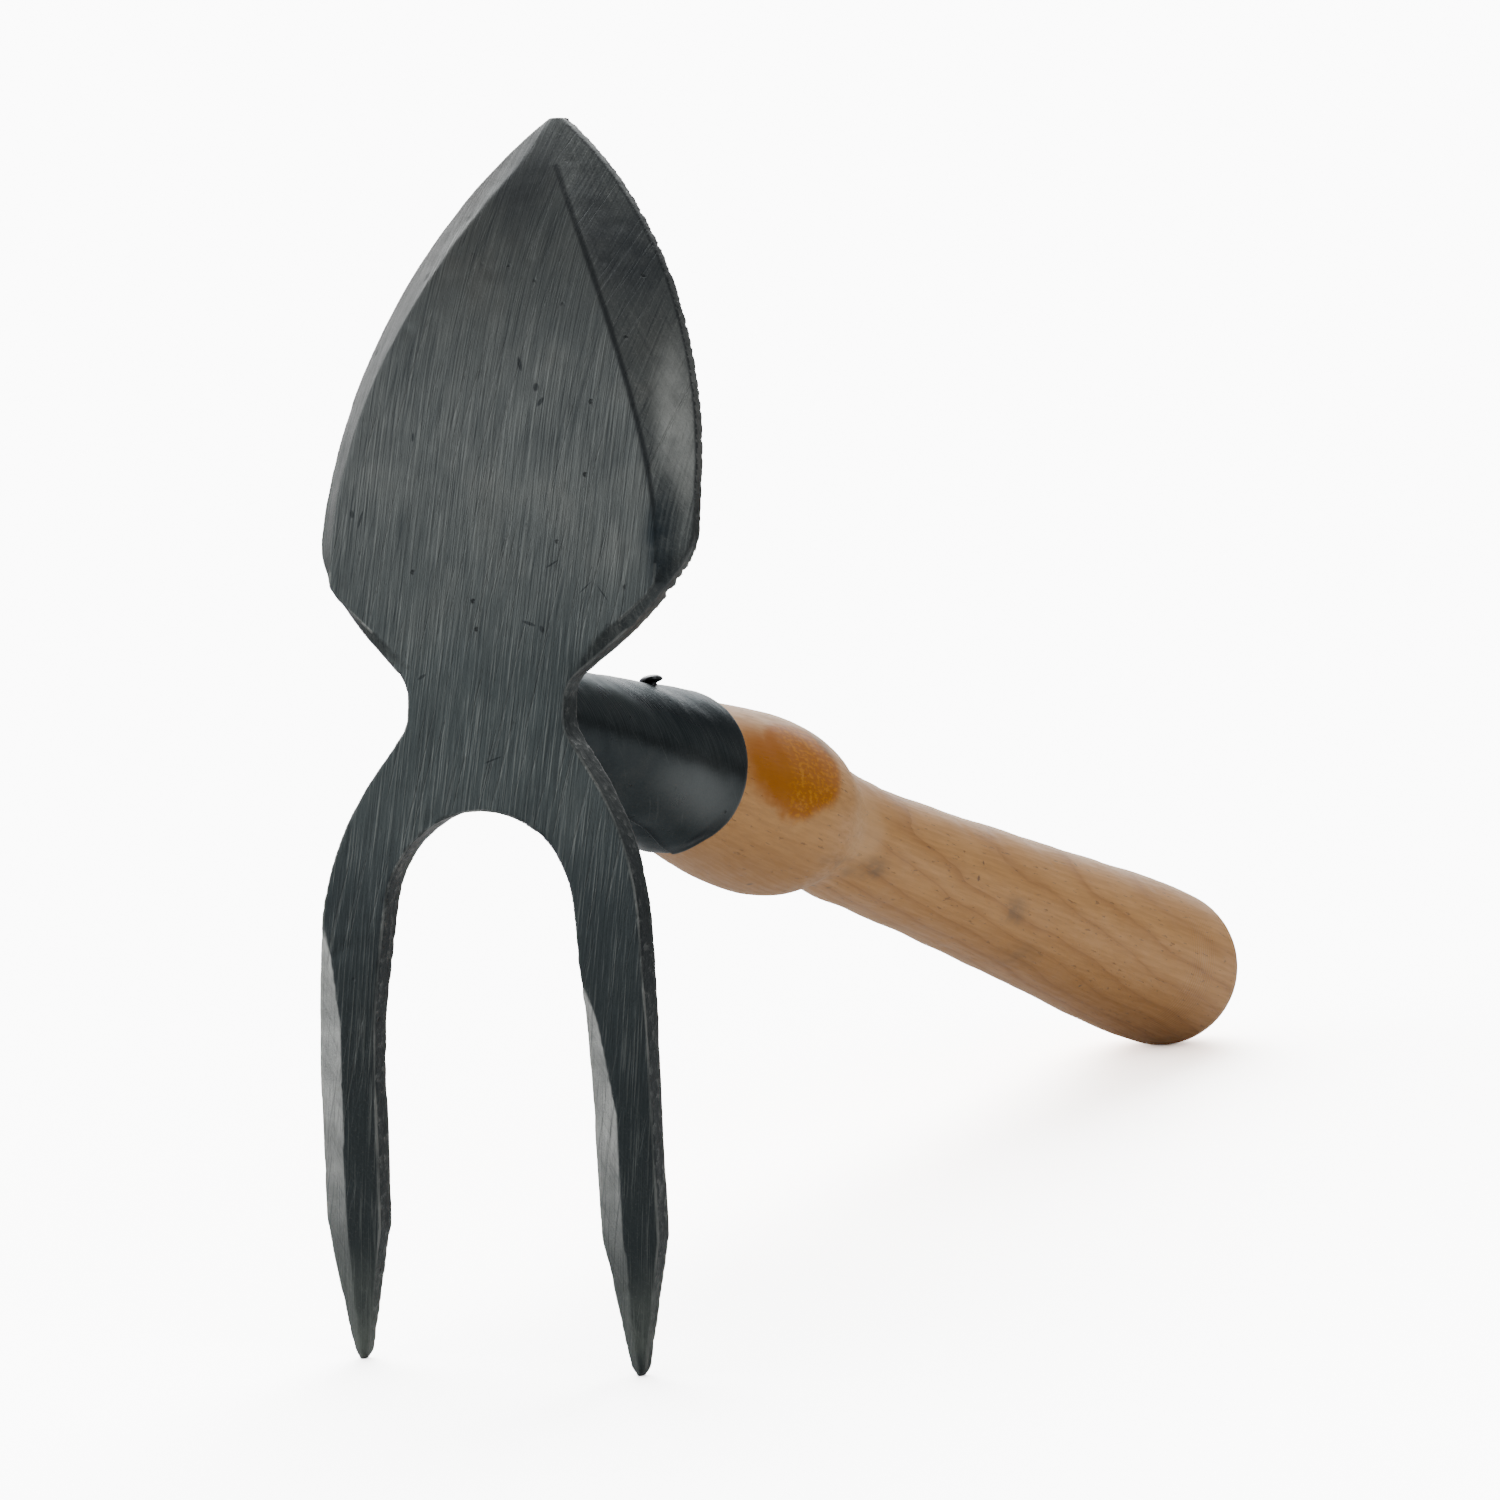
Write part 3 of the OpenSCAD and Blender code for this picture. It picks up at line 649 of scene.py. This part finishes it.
def forge_head():
    """The CAD head in fine quads, with small dents, a wavier back and arrises eroded a little."""
    shape = bmesh.new()
    shape.from_mesh(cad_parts["head"].data)
    bmesh.ops.remove_doubles(shape, verts=shape.verts, dist=0.002 * MM)
    mesh = bpy.data.meshes.new("forged_head")
    shape.to_mesh(mesh)
    obj = bpy.data.objects.new("forged_head", mesh)
    bpy.context.scene.collection.objects.link(obj)
    remesh = obj.modifiers.new("fine", "REMESH")
    remesh.mode, remesh.voxel_size = "VOXEL", VOXEL
    apply_modifiers(obj)

    # The voxels' stairs are taken out: points go to the nearest place on the CAD shape,
    # and those beside an arris go right onto it, before all are eased
    faces = BVHTree.FromBMesh(shape)
    arrises = lines_where(shape, lambda angle, at: angle > ARRIS)
    points = np.array([faces.find_nearest(Vector(p))[0] for p in coords(obj)])
    for i, point in enumerate(points):
        on_line, _, far = arrises.find(Vector(point))
        if far < SNAP:
            points[i] = on_line
    set_coords(obj, points)
    creases = lines_where(shape, lambda angle, at: angle > CREASE)
    off_line = np.array([creases.find(Vector(p))[2] for p in points])
    points = ease(obj, points, smooth(off_line, 0.3 * MM, 1.0 * MM), 24)
    everywhere = np.ones(len(points))
    points = ease(obj, points, everywhere, 3)
    set_coords(obj, points)
    out = normals(obj)

    # Masks for the material and the dents, each from 0 to 1
    folds = lines_where(shape, lambda angle, at: (
        CREASE < angle < ARRIS and at.x > 4 * MM and at.z > 136 * MM))
    flat = np.array([faces.find_nearest(Vector(p))[1] for p in points])
    to_arris = np.array([arrises.find(Vector(p))[2] for p in points])
    to_fold = np.array([folds.find(Vector(p))[2] for p in points])
    edge = np.exp(-((to_arris / WEAR_AND_HIGHLIGHT) ** 2))
    front = smooth(-flat[:, 1], 0.3, 0.6)
    ground = front * smooth(np.abs(flat[:, 0]), 0.10, 0.22)
    # The left-facing ground facets of the tines, which are given a painted lit colour
    lit_left_facet = front * smooth(-flat[:, 0], 0.22, 0.30) * (points[:, 2] < TINE_Z)
    ground, lit_left_facet = ease(obj, np.stack((ground, lit_left_facet), axis=1), everywhere, 6).T
    behind = smooth(flat[:, 1], 0.3, 0.6) * (1 - edge)
    # Where shade is painted along the fold beside the right flange
    fold_shade = np.exp(-((to_fold / FOLD_SHADE) ** 2)) * front
    fold_shade *= smooth(points[:, 2], 138 * MM, 152 * MM)

    lift = 0.04 * MM * waves(points, 24 * MM, 11) + 0.012 * MM * waves(points, 6 * MM, 12)
    lift += behind * 0.14 * MM * waves(points, 13 * MM, 13)
    lift += ground * (1 - edge) * 0.02 * MM * waves(points, 8 * MM, 14)
    lift -= edge * 0.06 * MM * np.maximum(0, waves(points, 9 * MM, 15))
    lift -= dents(points, 16, 90, (0.7, 1.5), (0.05, 0.14))
    # Nothing swells below the tips, which stand on the ground
    lift = np.where(points[:, 2] < 1.5 * MM, np.minimum(lift, 0), lift)
    set_coords(obj, points + out * lift[:, None])
    set_attribute(obj, "edge", edge)
    set_attribute(obj, "ground", ground)
    set_attribute(obj, "fold_shade", fold_shade)
    set_attribute(obj, "lit_left_facet", lit_left_facet)
    set_attribute(obj, "side", smooth(np.abs(flat[:, 1]), 0.5, 0.2))
    shape.free()
    finish_piece(obj, "head", forged_steel())


# ---------------------------------------------------------------------- socket

SLOPE = (MOUTH_R - ROOT_R) / (MOUTH_S - PLATE_T)
SHEET_T = 1.5 * MM
SEAM_TURN = math.radians(-83)  # at the mouth, the seam is under the socket
SEAM_SLANT = math.radians(0.36)  # it climbs this much for each millimetre from the mouth
LAP = math.radians(11)  # how far one lip of the sheet lies under the other
TUCK = 0.5 * MM  # scale of how far that lip is pressed in
MOUTH_DENT = math.radians(-60)  # where the mouth is hammered in
INSET = 0.08 * MM  # room left for the sheet's waviness inside the CAD cone
UNROLLED_R = 13 * MM  # radius at which turns round the sheet are measured out as lengths


def cone_r(s):
    return MOUTH_R - (MOUTH_S - s) * SLOPE


def roll_socket():
    """A sheet rolled into a cone, one lip lapped under the other, dented at the mouth."""
    rows, columns = 84, 190
    s = np.linspace(5 * MM, MOUTH_S, rows)[:, None]
    share = np.linspace(0, 1, columns)[None, :]
    # The upper lip wanders a little off its line
    lip = SEAM_TURN + SEAM_SLANT * (MOUTH_S - s) / MM + 0.02 * np.sin(s / (4 * MM))
    turn = lip + share * (2 * math.pi + LAP)
    tuck = TUCK * (1.9 - s / MOUTH_S) * smooth(share, 0.86, 0.965)
    # The mouth is hammered in a little beside the seam
    dent = 0.6 * MM * smooth(s, MOUTH_S - 5 * MM, MOUTH_S) * np.exp(
        -(((turn - MOUTH_DENT) / math.radians(18)) ** 2))
    r = cone_r(s) - tuck - dent
    points = axis_point(s + 0 * turn, turn, r).reshape(-1, 3)
    obj = new_object("rolled_socket", points, grid_faces(rows, columns, wrap=False))
    around = (share + 0 * s) * 2 * math.pi * UNROLLED_R
    lay = np.stack((around, s + 0 * share, 0 * turn), axis=2)
    set_attribute(obj, "lay", lay.reshape(-1, 3))

    out = normals(obj)
    mean_out = (out * (points - ORIGIN)).sum(axis=1).mean()
    if mean_out < 0:
        obj.data.flip_normals()
        out = -out
    lift = 0.07 * MM * waves(points, 17 * MM, 21) + 0.02 * MM * waves(points, 5 * MM, 22)
    lift -= dents(points, 23, 26, (0.8, 2.2), (0.05, 0.13))
    set_coords(obj, points + out * (lift - INSET)[:, None])

    sheet = obj.modifiers.new("sheet", "SOLIDIFY")
    sheet.thickness, sheet.offset, sheet.use_even_offset = SHEET_T, -1, True
    round_lips = obj.modifiers.new("round_lips", "BEVEL")
    round_lips.width, round_lips.segments = 0.35 * MM, 3
    round_lips.limit_method, round_lips.angle_limit = "ANGLE", math.radians(50)
    apply_modifiers(obj)
    points = coords(obj)
    along = (points - ORIGIN) @ ALONG
    across = points - ORIGIN - along[:, None] * ALONG
    reach = np.abs(along - MOUTH_S)
    rim = smooth(np.linalg.norm(across, axis=1), MOUTH_R - 1.2 * MM, MOUTH_R)
    set_attribute(obj, "edge", np.exp(-((reach / (0.45 * MM)) ** 2)) * rim)
    lean = np.arctan2(across @ ABOVE, across @ RIGHT)
    set_attribute(obj, "upper", smooth(np.sin(lean), -0.45, 0.25))
    finish_piece(obj, "socket", socket_steel())


# ------------------------------------------------------------------ weld bead


def lay_weld():
    """Overlapping ripples of weld round the socket, where it meets the plate."""
    plate_out = np.array([0, math.cos(LEAN), -math.sin(LEAN)])
    back = node_points("weld_bead")
    offset = (back @ plate_out).min()  # the bead's CAD solid sits face to face on the plate
    steps, sides, ripples = 264, 20, 33
    turn = np.linspace(0, 2 * math.pi, steps, endpoint=False)
    across = np.cos(turn)[:, None] * RIGHT + np.sin(turn)[:, None] * ABOVE
    # Where the cone meets the plate's plane, solved for s on each line of the cone
    base = ROOT_R - PLATE_T * SLOPE
    s = (offset - ORIGIN @ plate_out - base * (across @ plate_out)) / (
        ALONG @ plate_out + SLOPE * (across @ plate_out))
    path = axis_point(s, turn, cone_r(s))
    forward = np.roll(path, -1, axis=0) - np.roll(path, 1, axis=0)
    forward /= np.linalg.norm(forward, axis=1)[:, None]
    outward = np.cross(forward, plate_out)
    outward *= np.sign((outward * across).sum(axis=1))[:, None]

    phase = turn * ripples / (2 * math.pi)
    scallop = np.abs(np.sin(math.pi * phase))
    swell = 1 + 0.05 * waves(path, 9 * MM, 31) + 0.11 * scallop
    points = np.empty((steps, sides, 3))
    for j in range(sides):
        angle = 2 * math.pi * j / sides
        reach = 2.05 * MM * swell
        trail = 0.5 * MM * math.sin(max(0.0, math.sin(2 * angle))) if angle < math.pi / 2 else 0
        points[:, j] = (path + outward * (0.55 * MM + reach * math.cos(angle))[:, None]
                        + plate_out * (0.2 * MM + reach * math.sin(angle))[:, None]
                        + forward * trail)
    points = points.reshape(-1, 3)
    faces = grid_faces(steps, sides, wrap=True)
    last = (steps - 1) * sides
    faces += [(last + j, last + (j + 1) % sides, (j + 1) % sides, j) for j in range(sides)]
    obj = new_object("weld_ripples", points, faces)
    set_coords(obj, points + normals(obj) * (0.06 * MM * waves(points, 2.4 * MM, 32))[:, None])
    finish_piece(obj, "weld_bead", weld_steel())


# ---------------------------------------------------------------------- handle

# The handle is a little bowed behind the swell: how far up, where, and over what length
BOW, BOW_S, BOW_L = 1.15 * MM, 131 * MM, 15 * MM


def turn_handle():
    """The CAD handle's profile, turned again with the small errors of hand work."""
    local = node_points("handle") - ORIGIN
    s_all = local @ ALONG
    r_all = np.hypot(local @ RIGHT, local @ ABOVE)
    start = NAIL_S + 7 * MM  # past the nail's hole
    known = [(s, r) for s, r in zip(s_all, r_all) if start - 4 * MM < s < BUTT_S + 0.01 * MM]
    known.sort()
    known_s, known_r = np.array(known).T

    def profile(s):
        spread = np.linspace(-1.4, 1.4, 7) * MM
        soft = np.mean([np.interp(s + d, known_s, known_r) for d in spread], axis=0)
        # The shoulder at the socket's mouth and the join with the butt stay crisp
        keep = smooth(s, MOUTH_S + 4 * MM, MOUTH_S + 1 * MM) + smooth(s, BUTT_S - 3 * MM, BUTT_S)
        return soft * (1 - keep) + np.interp(s, known_s, known_r) * keep

    columns = 160
    body = np.linspace(start, BUTT_S, 250, endpoint=False)
    cap = np.linspace(0, math.pi / 2, 30)[:-1]
    s = np.concatenate((body, BUTT_S + BUTT_R * np.sin(cap)))
    r = np.concatenate((profile(body), BUTT_R * np.cos(cap)))
    turn = np.linspace(0, 2 * math.pi, columns, endpoint=False)[None, :]
    bow = BOW * np.exp(-(((s - BOW_S) / BOW_L) ** 2))[:, None]
    free = smooth(s, MOUTH_S, MOUTH_S + 20 * MM)[:, None]
    free = free * smooth(s, BUTT_S + 6 * MM, BUTT_S - 30 * MM)[:, None]
    r = r[:, None] * (1 + 0.006 * free * np.cos(2 * turn + 1.1))
    ring = axis_point(s[:, None] + 0 * turn, turn, r) + bow[..., None] * ABOVE
    points = ring.reshape(-1, 3)
    lift = 0.07 * MM * waves(points, 26 * MM, 41) + 0.02 * MM * waves(points, 7 * MM, 42)
    lift -= dents(points, 43, 34, (1.0, 3.0), (0.04, 0.14))
    lift *= np.repeat(free[:, 0], columns)
    local = points - ORIGIN
    across = np.stack((local @ RIGHT, local @ ABOVE), axis=1)
    size = np.linalg.norm(across, axis=1)
    unit = across[:, :1] / size[:, None] * RIGHT + across[:, 1:] / size[:, None] * ABOVE
    points = points + unit * lift[:, None]

    rows = len(s)
    faces = grid_faces(rows, columns, wrap=True)
    ends = [axis_point(np.array(start), 0.0, 0.0), axis_point(np.array(BUTT_S + BUTT_R), 0.0, 0.0)]
    points = np.vstack((points, ends))
    front, back = rows * columns, rows * columns + 1
    for j in range(columns):
        k = (j + 1) % columns
        faces.append((front, k, j))
        faces.append((back, (rows - 1) * columns + j, (rows - 1) * columns + k))
    obj = new_object("turned_handle", points, faces)
    local = points - ORIGIN
    x, h, along = local @ RIGHT, local @ ABOVE, local @ ALONG
    set_attribute(obj, "grain", np.stack((x, h, along), axis=1))
    around, along = lay_of(np.arctan2(h, x), along)
    set_attribute(obj, "lay", np.stack((around, along, 0 * along), axis=1))
    face_outwards(obj)
    finish_piece(obj, "handle", handle_wood())


# ------------------------------------------------------------------------ nail


def drive_nail():
    """A hand-made nail: a lumpy domed head on a tapering shank."""
    head_r, shank_r, shank_l = 2.3 * MM, 0.9 * MM, 12 * MM
    tilt, lean = math.radians(8), math.radians(24)
    out = math.cos(NAIL_TURN + lean) * RIGHT + math.sin(NAIL_TURN + lean) * ABOVE
    side = np.cross(ALONG, out)
    # The nail leans to the left and a little to the plate, so its head sits askew
    up = math.cos(tilt) * out - math.sin(tilt) * ALONG
    fore = np.cross(side, up)
    seat = axis_point(np.array(NAIL_S), NAIL_TURN, cone_r(NAIL_S) + 0.1 * MM)

    outline = [(-shank_l, 0.3 * MM), (-shank_l + 3 * MM, shank_r * 0.9), (-0.6 * MM, shank_r),
               (-0.15 * MM, shank_r + 0.15 * MM), (0.0, head_r * 0.7), (0.1 * MM, head_r * 0.93),
               (0.35 * MM, head_r), (0.65 * MM, head_r * 0.96), (0.92 * MM, head_r * 0.84),
               (1.14 * MM, head_r * 0.66), (1.28 * MM, head_r * 0.42), (1.35 * MM, head_r * 0.18)]
    columns = 40
    turn = np.linspace(0, 2 * math.pi, columns, endpoint=False)
    points = []
    for z, r in outline:
        ring = (seat + z * up + r * (np.cos(turn)[:, None] * side + np.sin(turn)[:, None] * fore))
        points.append(ring)
    points = np.concatenate(points + [[seat - shank_l * up], [seat + 1.37 * MM * up]])
    faces = grid_faces(len(outline), columns, wrap=True)
    foot, crown = len(outline) * columns, len(outline) * columns + 1
    for j in range(columns):
        k = (j + 1) % columns
        faces.append((foot, k, j))
        faces.append((crown, foot - columns + j, foot - columns + k))
    obj = new_object("driven_nail", points, faces)
    face_outwards(obj)
    fine = obj.modifiers.new("fine", "SUBSURF")
    fine.levels = fine.render_levels = 2
    apply_modifiers(obj)
    points = coords(obj)
    above = smooth((points - seat) @ up, -0.2 * MM, 0.2 * MM)
    lift = -0.08 * MM * np.abs(waves(points, 3.4 * MM, 51)) * above
    set_coords(obj, points + normals(obj) * lift[:, None])
    finish_piece(obj, "nail", nail_steel())


# --------------------------------------------------------- studio and camera

FLOOR_R = 4.0
FLOOR_SIDES = 96
FLOOR_SEEN = 8.6  # how bright the floor looks in the picture
FLOOR_BOUNCE = (0.6, 0.6, 0.6)  # what it gives back to the object near by,
FLOOR_DIM = (0.05, 0.05, 0.05)  # and what it gives back further off
BOUNCE_NEAR, BOUNCE_FAR = 0.28, 0.7  # distances from the origin where one turns to the other


def floor():
    """A wide pale disc at the object's feet."""
    turn = np.linspace(0, 2 * math.pi, FLOOR_SIDES, endpoint=False)
    ring = np.stack((FLOOR_R * np.cos(turn), FLOOR_R * np.sin(turn), 0 * turn), axis=1)
    obj = new_object("floor", ring, [tuple(range(FLOOR_SIDES))])
    s = Shader("floor_white")
    ray = s.add("ShaderNodeLightPath").outputs["Is Camera Ray"]
    far = s.add("ShaderNodeVectorMath", {0: s.place()}, operation="LENGTH").outputs["Value"]
    bounce = s.mix(s.step(far, BOUNCE_NEAR, BOUNCE_FAR), FLOOR_BOUNCE, FLOOR_DIM)
    paper = s.mix(ray, bounce, (FLOOR_SEEN, FLOOR_SEEN, FLOOR_SEEN))
    sheet = s.add("ShaderNodeBsdfDiffuse", {"Color": paper})
    out = s.tree.nodes["Material Output"]
    s.tree.links.new(sheet.outputs[0], out.inputs["Surface"])
    obj.data.materials.append(s.material)


# Direction each part of the studio lies in, its radiance, and how wide it spreads:
# full inside the first angle, gone past the second, in degrees
STUDIO = (
    ((-0.35, 0.6, 0.72), 3.5, 14, 40),  # large soft box above and behind
    ((-0.5, 0.86, 0.1), 2.6, 12, 30),  # low box behind, on the left
    ((-0.97, -0.22, 0.05), 2.1, 12, 36),  # tall soft box on the left
    ((-0.6, -0.78, 0.15), 1.75, 10, 36),  # low fill from the front left
    ((0.88, -0.42, 0.1), 1.8, 6, 22),  # narrow strip at the front right
    ((0.79, -0.33, 0.52), 1.5, 4, 19),  # small box high at the front right
)
AMBIENT = 0.42
SEEN = 11.0  # brightness of the backdrop in the picture


def studio():
    world = bpy.data.worlds.new("studio")
    bpy.context.scene.world = world
    world.use_nodes = True
    tree = world.node_tree
    tree.nodes.clear()

    def add(kind, inputs, **settings):
        node = tree.nodes.new(kind)
        for key, value in settings.items():
            setattr(node, key, value)
        for key, value in inputs.items():
            if isinstance(value, bpy.types.NodeSocket):
                tree.links.new(value, node.inputs[key])
            else:
                node.inputs[key].default_value = value
        return node

    way = add("ShaderNodeTexCoord", {}).outputs["Generated"]
    total = AMBIENT
    for direction, radiance, full, gone in STUDIO:
        unit = Vector(direction).normalized()
        facing = add("ShaderNodeVectorMath", {0: way, 1: unit}, operation="DOT_PRODUCT")
        lobe = add("ShaderNodeMapRange", {
            "Value": facing.outputs["Value"], "From Min": math.cos(math.radians(gone)),
            "From Max": math.cos(math.radians(full)), "To Min": 0.0, "To Max": radiance},
            interpolation_type="SMOOTHSTEP")
        total = add("ShaderNodeMath", {0: lobe.outputs[0], 1: total}, operation="ADD").outputs[0]
    lit = add("ShaderNodeBackground", {"Color": (1, 1, 1, 1), "Strength": total})
    seen = add("ShaderNodeBackground", {"Color": (1, 1, 1, 1), "Strength": SEEN})
    ray = add("ShaderNodeLightPath", {})
    both = add("ShaderNodeMixShader", {
        0: ray.outputs["Is Camera Ray"], 1: lit.outputs[0], 2: seen.outputs[0]})
    add("ShaderNodeOutputWorld", {"Surface": both.outputs[0]})


CAMERA_AT = (401.5 * MM, -921.7 * MM, 195.5 * MM)
AZIMUTH, ELEVATION, ROLL = (math.radians(a) for a in (25, 6.09, -2.57))


def camera():
    data = bpy.data.cameras.new("camera")
    data.lens, data.sensor_width = 120, 36
    data.clip_start, data.clip_end = 0.05, 50
    obj = bpy.data.objects.new("camera", data)
    bpy.context.scene.collection.objects.link(obj)
    back = Vector((math.sin(AZIMUTH) * math.cos(ELEVATION),
                   -math.cos(AZIMUTH) * math.cos(ELEVATION), math.sin(ELEVATION)))
    level = Vector((math.cos(AZIMUTH), math.sin(AZIMUTH), 0))
    lift = back.cross(level)
    across = level * math.cos(ROLL) + lift * math.sin(ROLL)
    top = lift * math.cos(ROLL) - level * math.sin(ROLL)
    turn = Matrix((across, top, back)).transposed().to_4x4()
    obj.matrix_world = Matrix.Translation(CAMERA_AT) @ turn
    bpy.context.scene.camera = obj


forge_head()
roll_socket()
lay_weld()
turn_handle()
drive_nail()
floor()
studio()
camera()
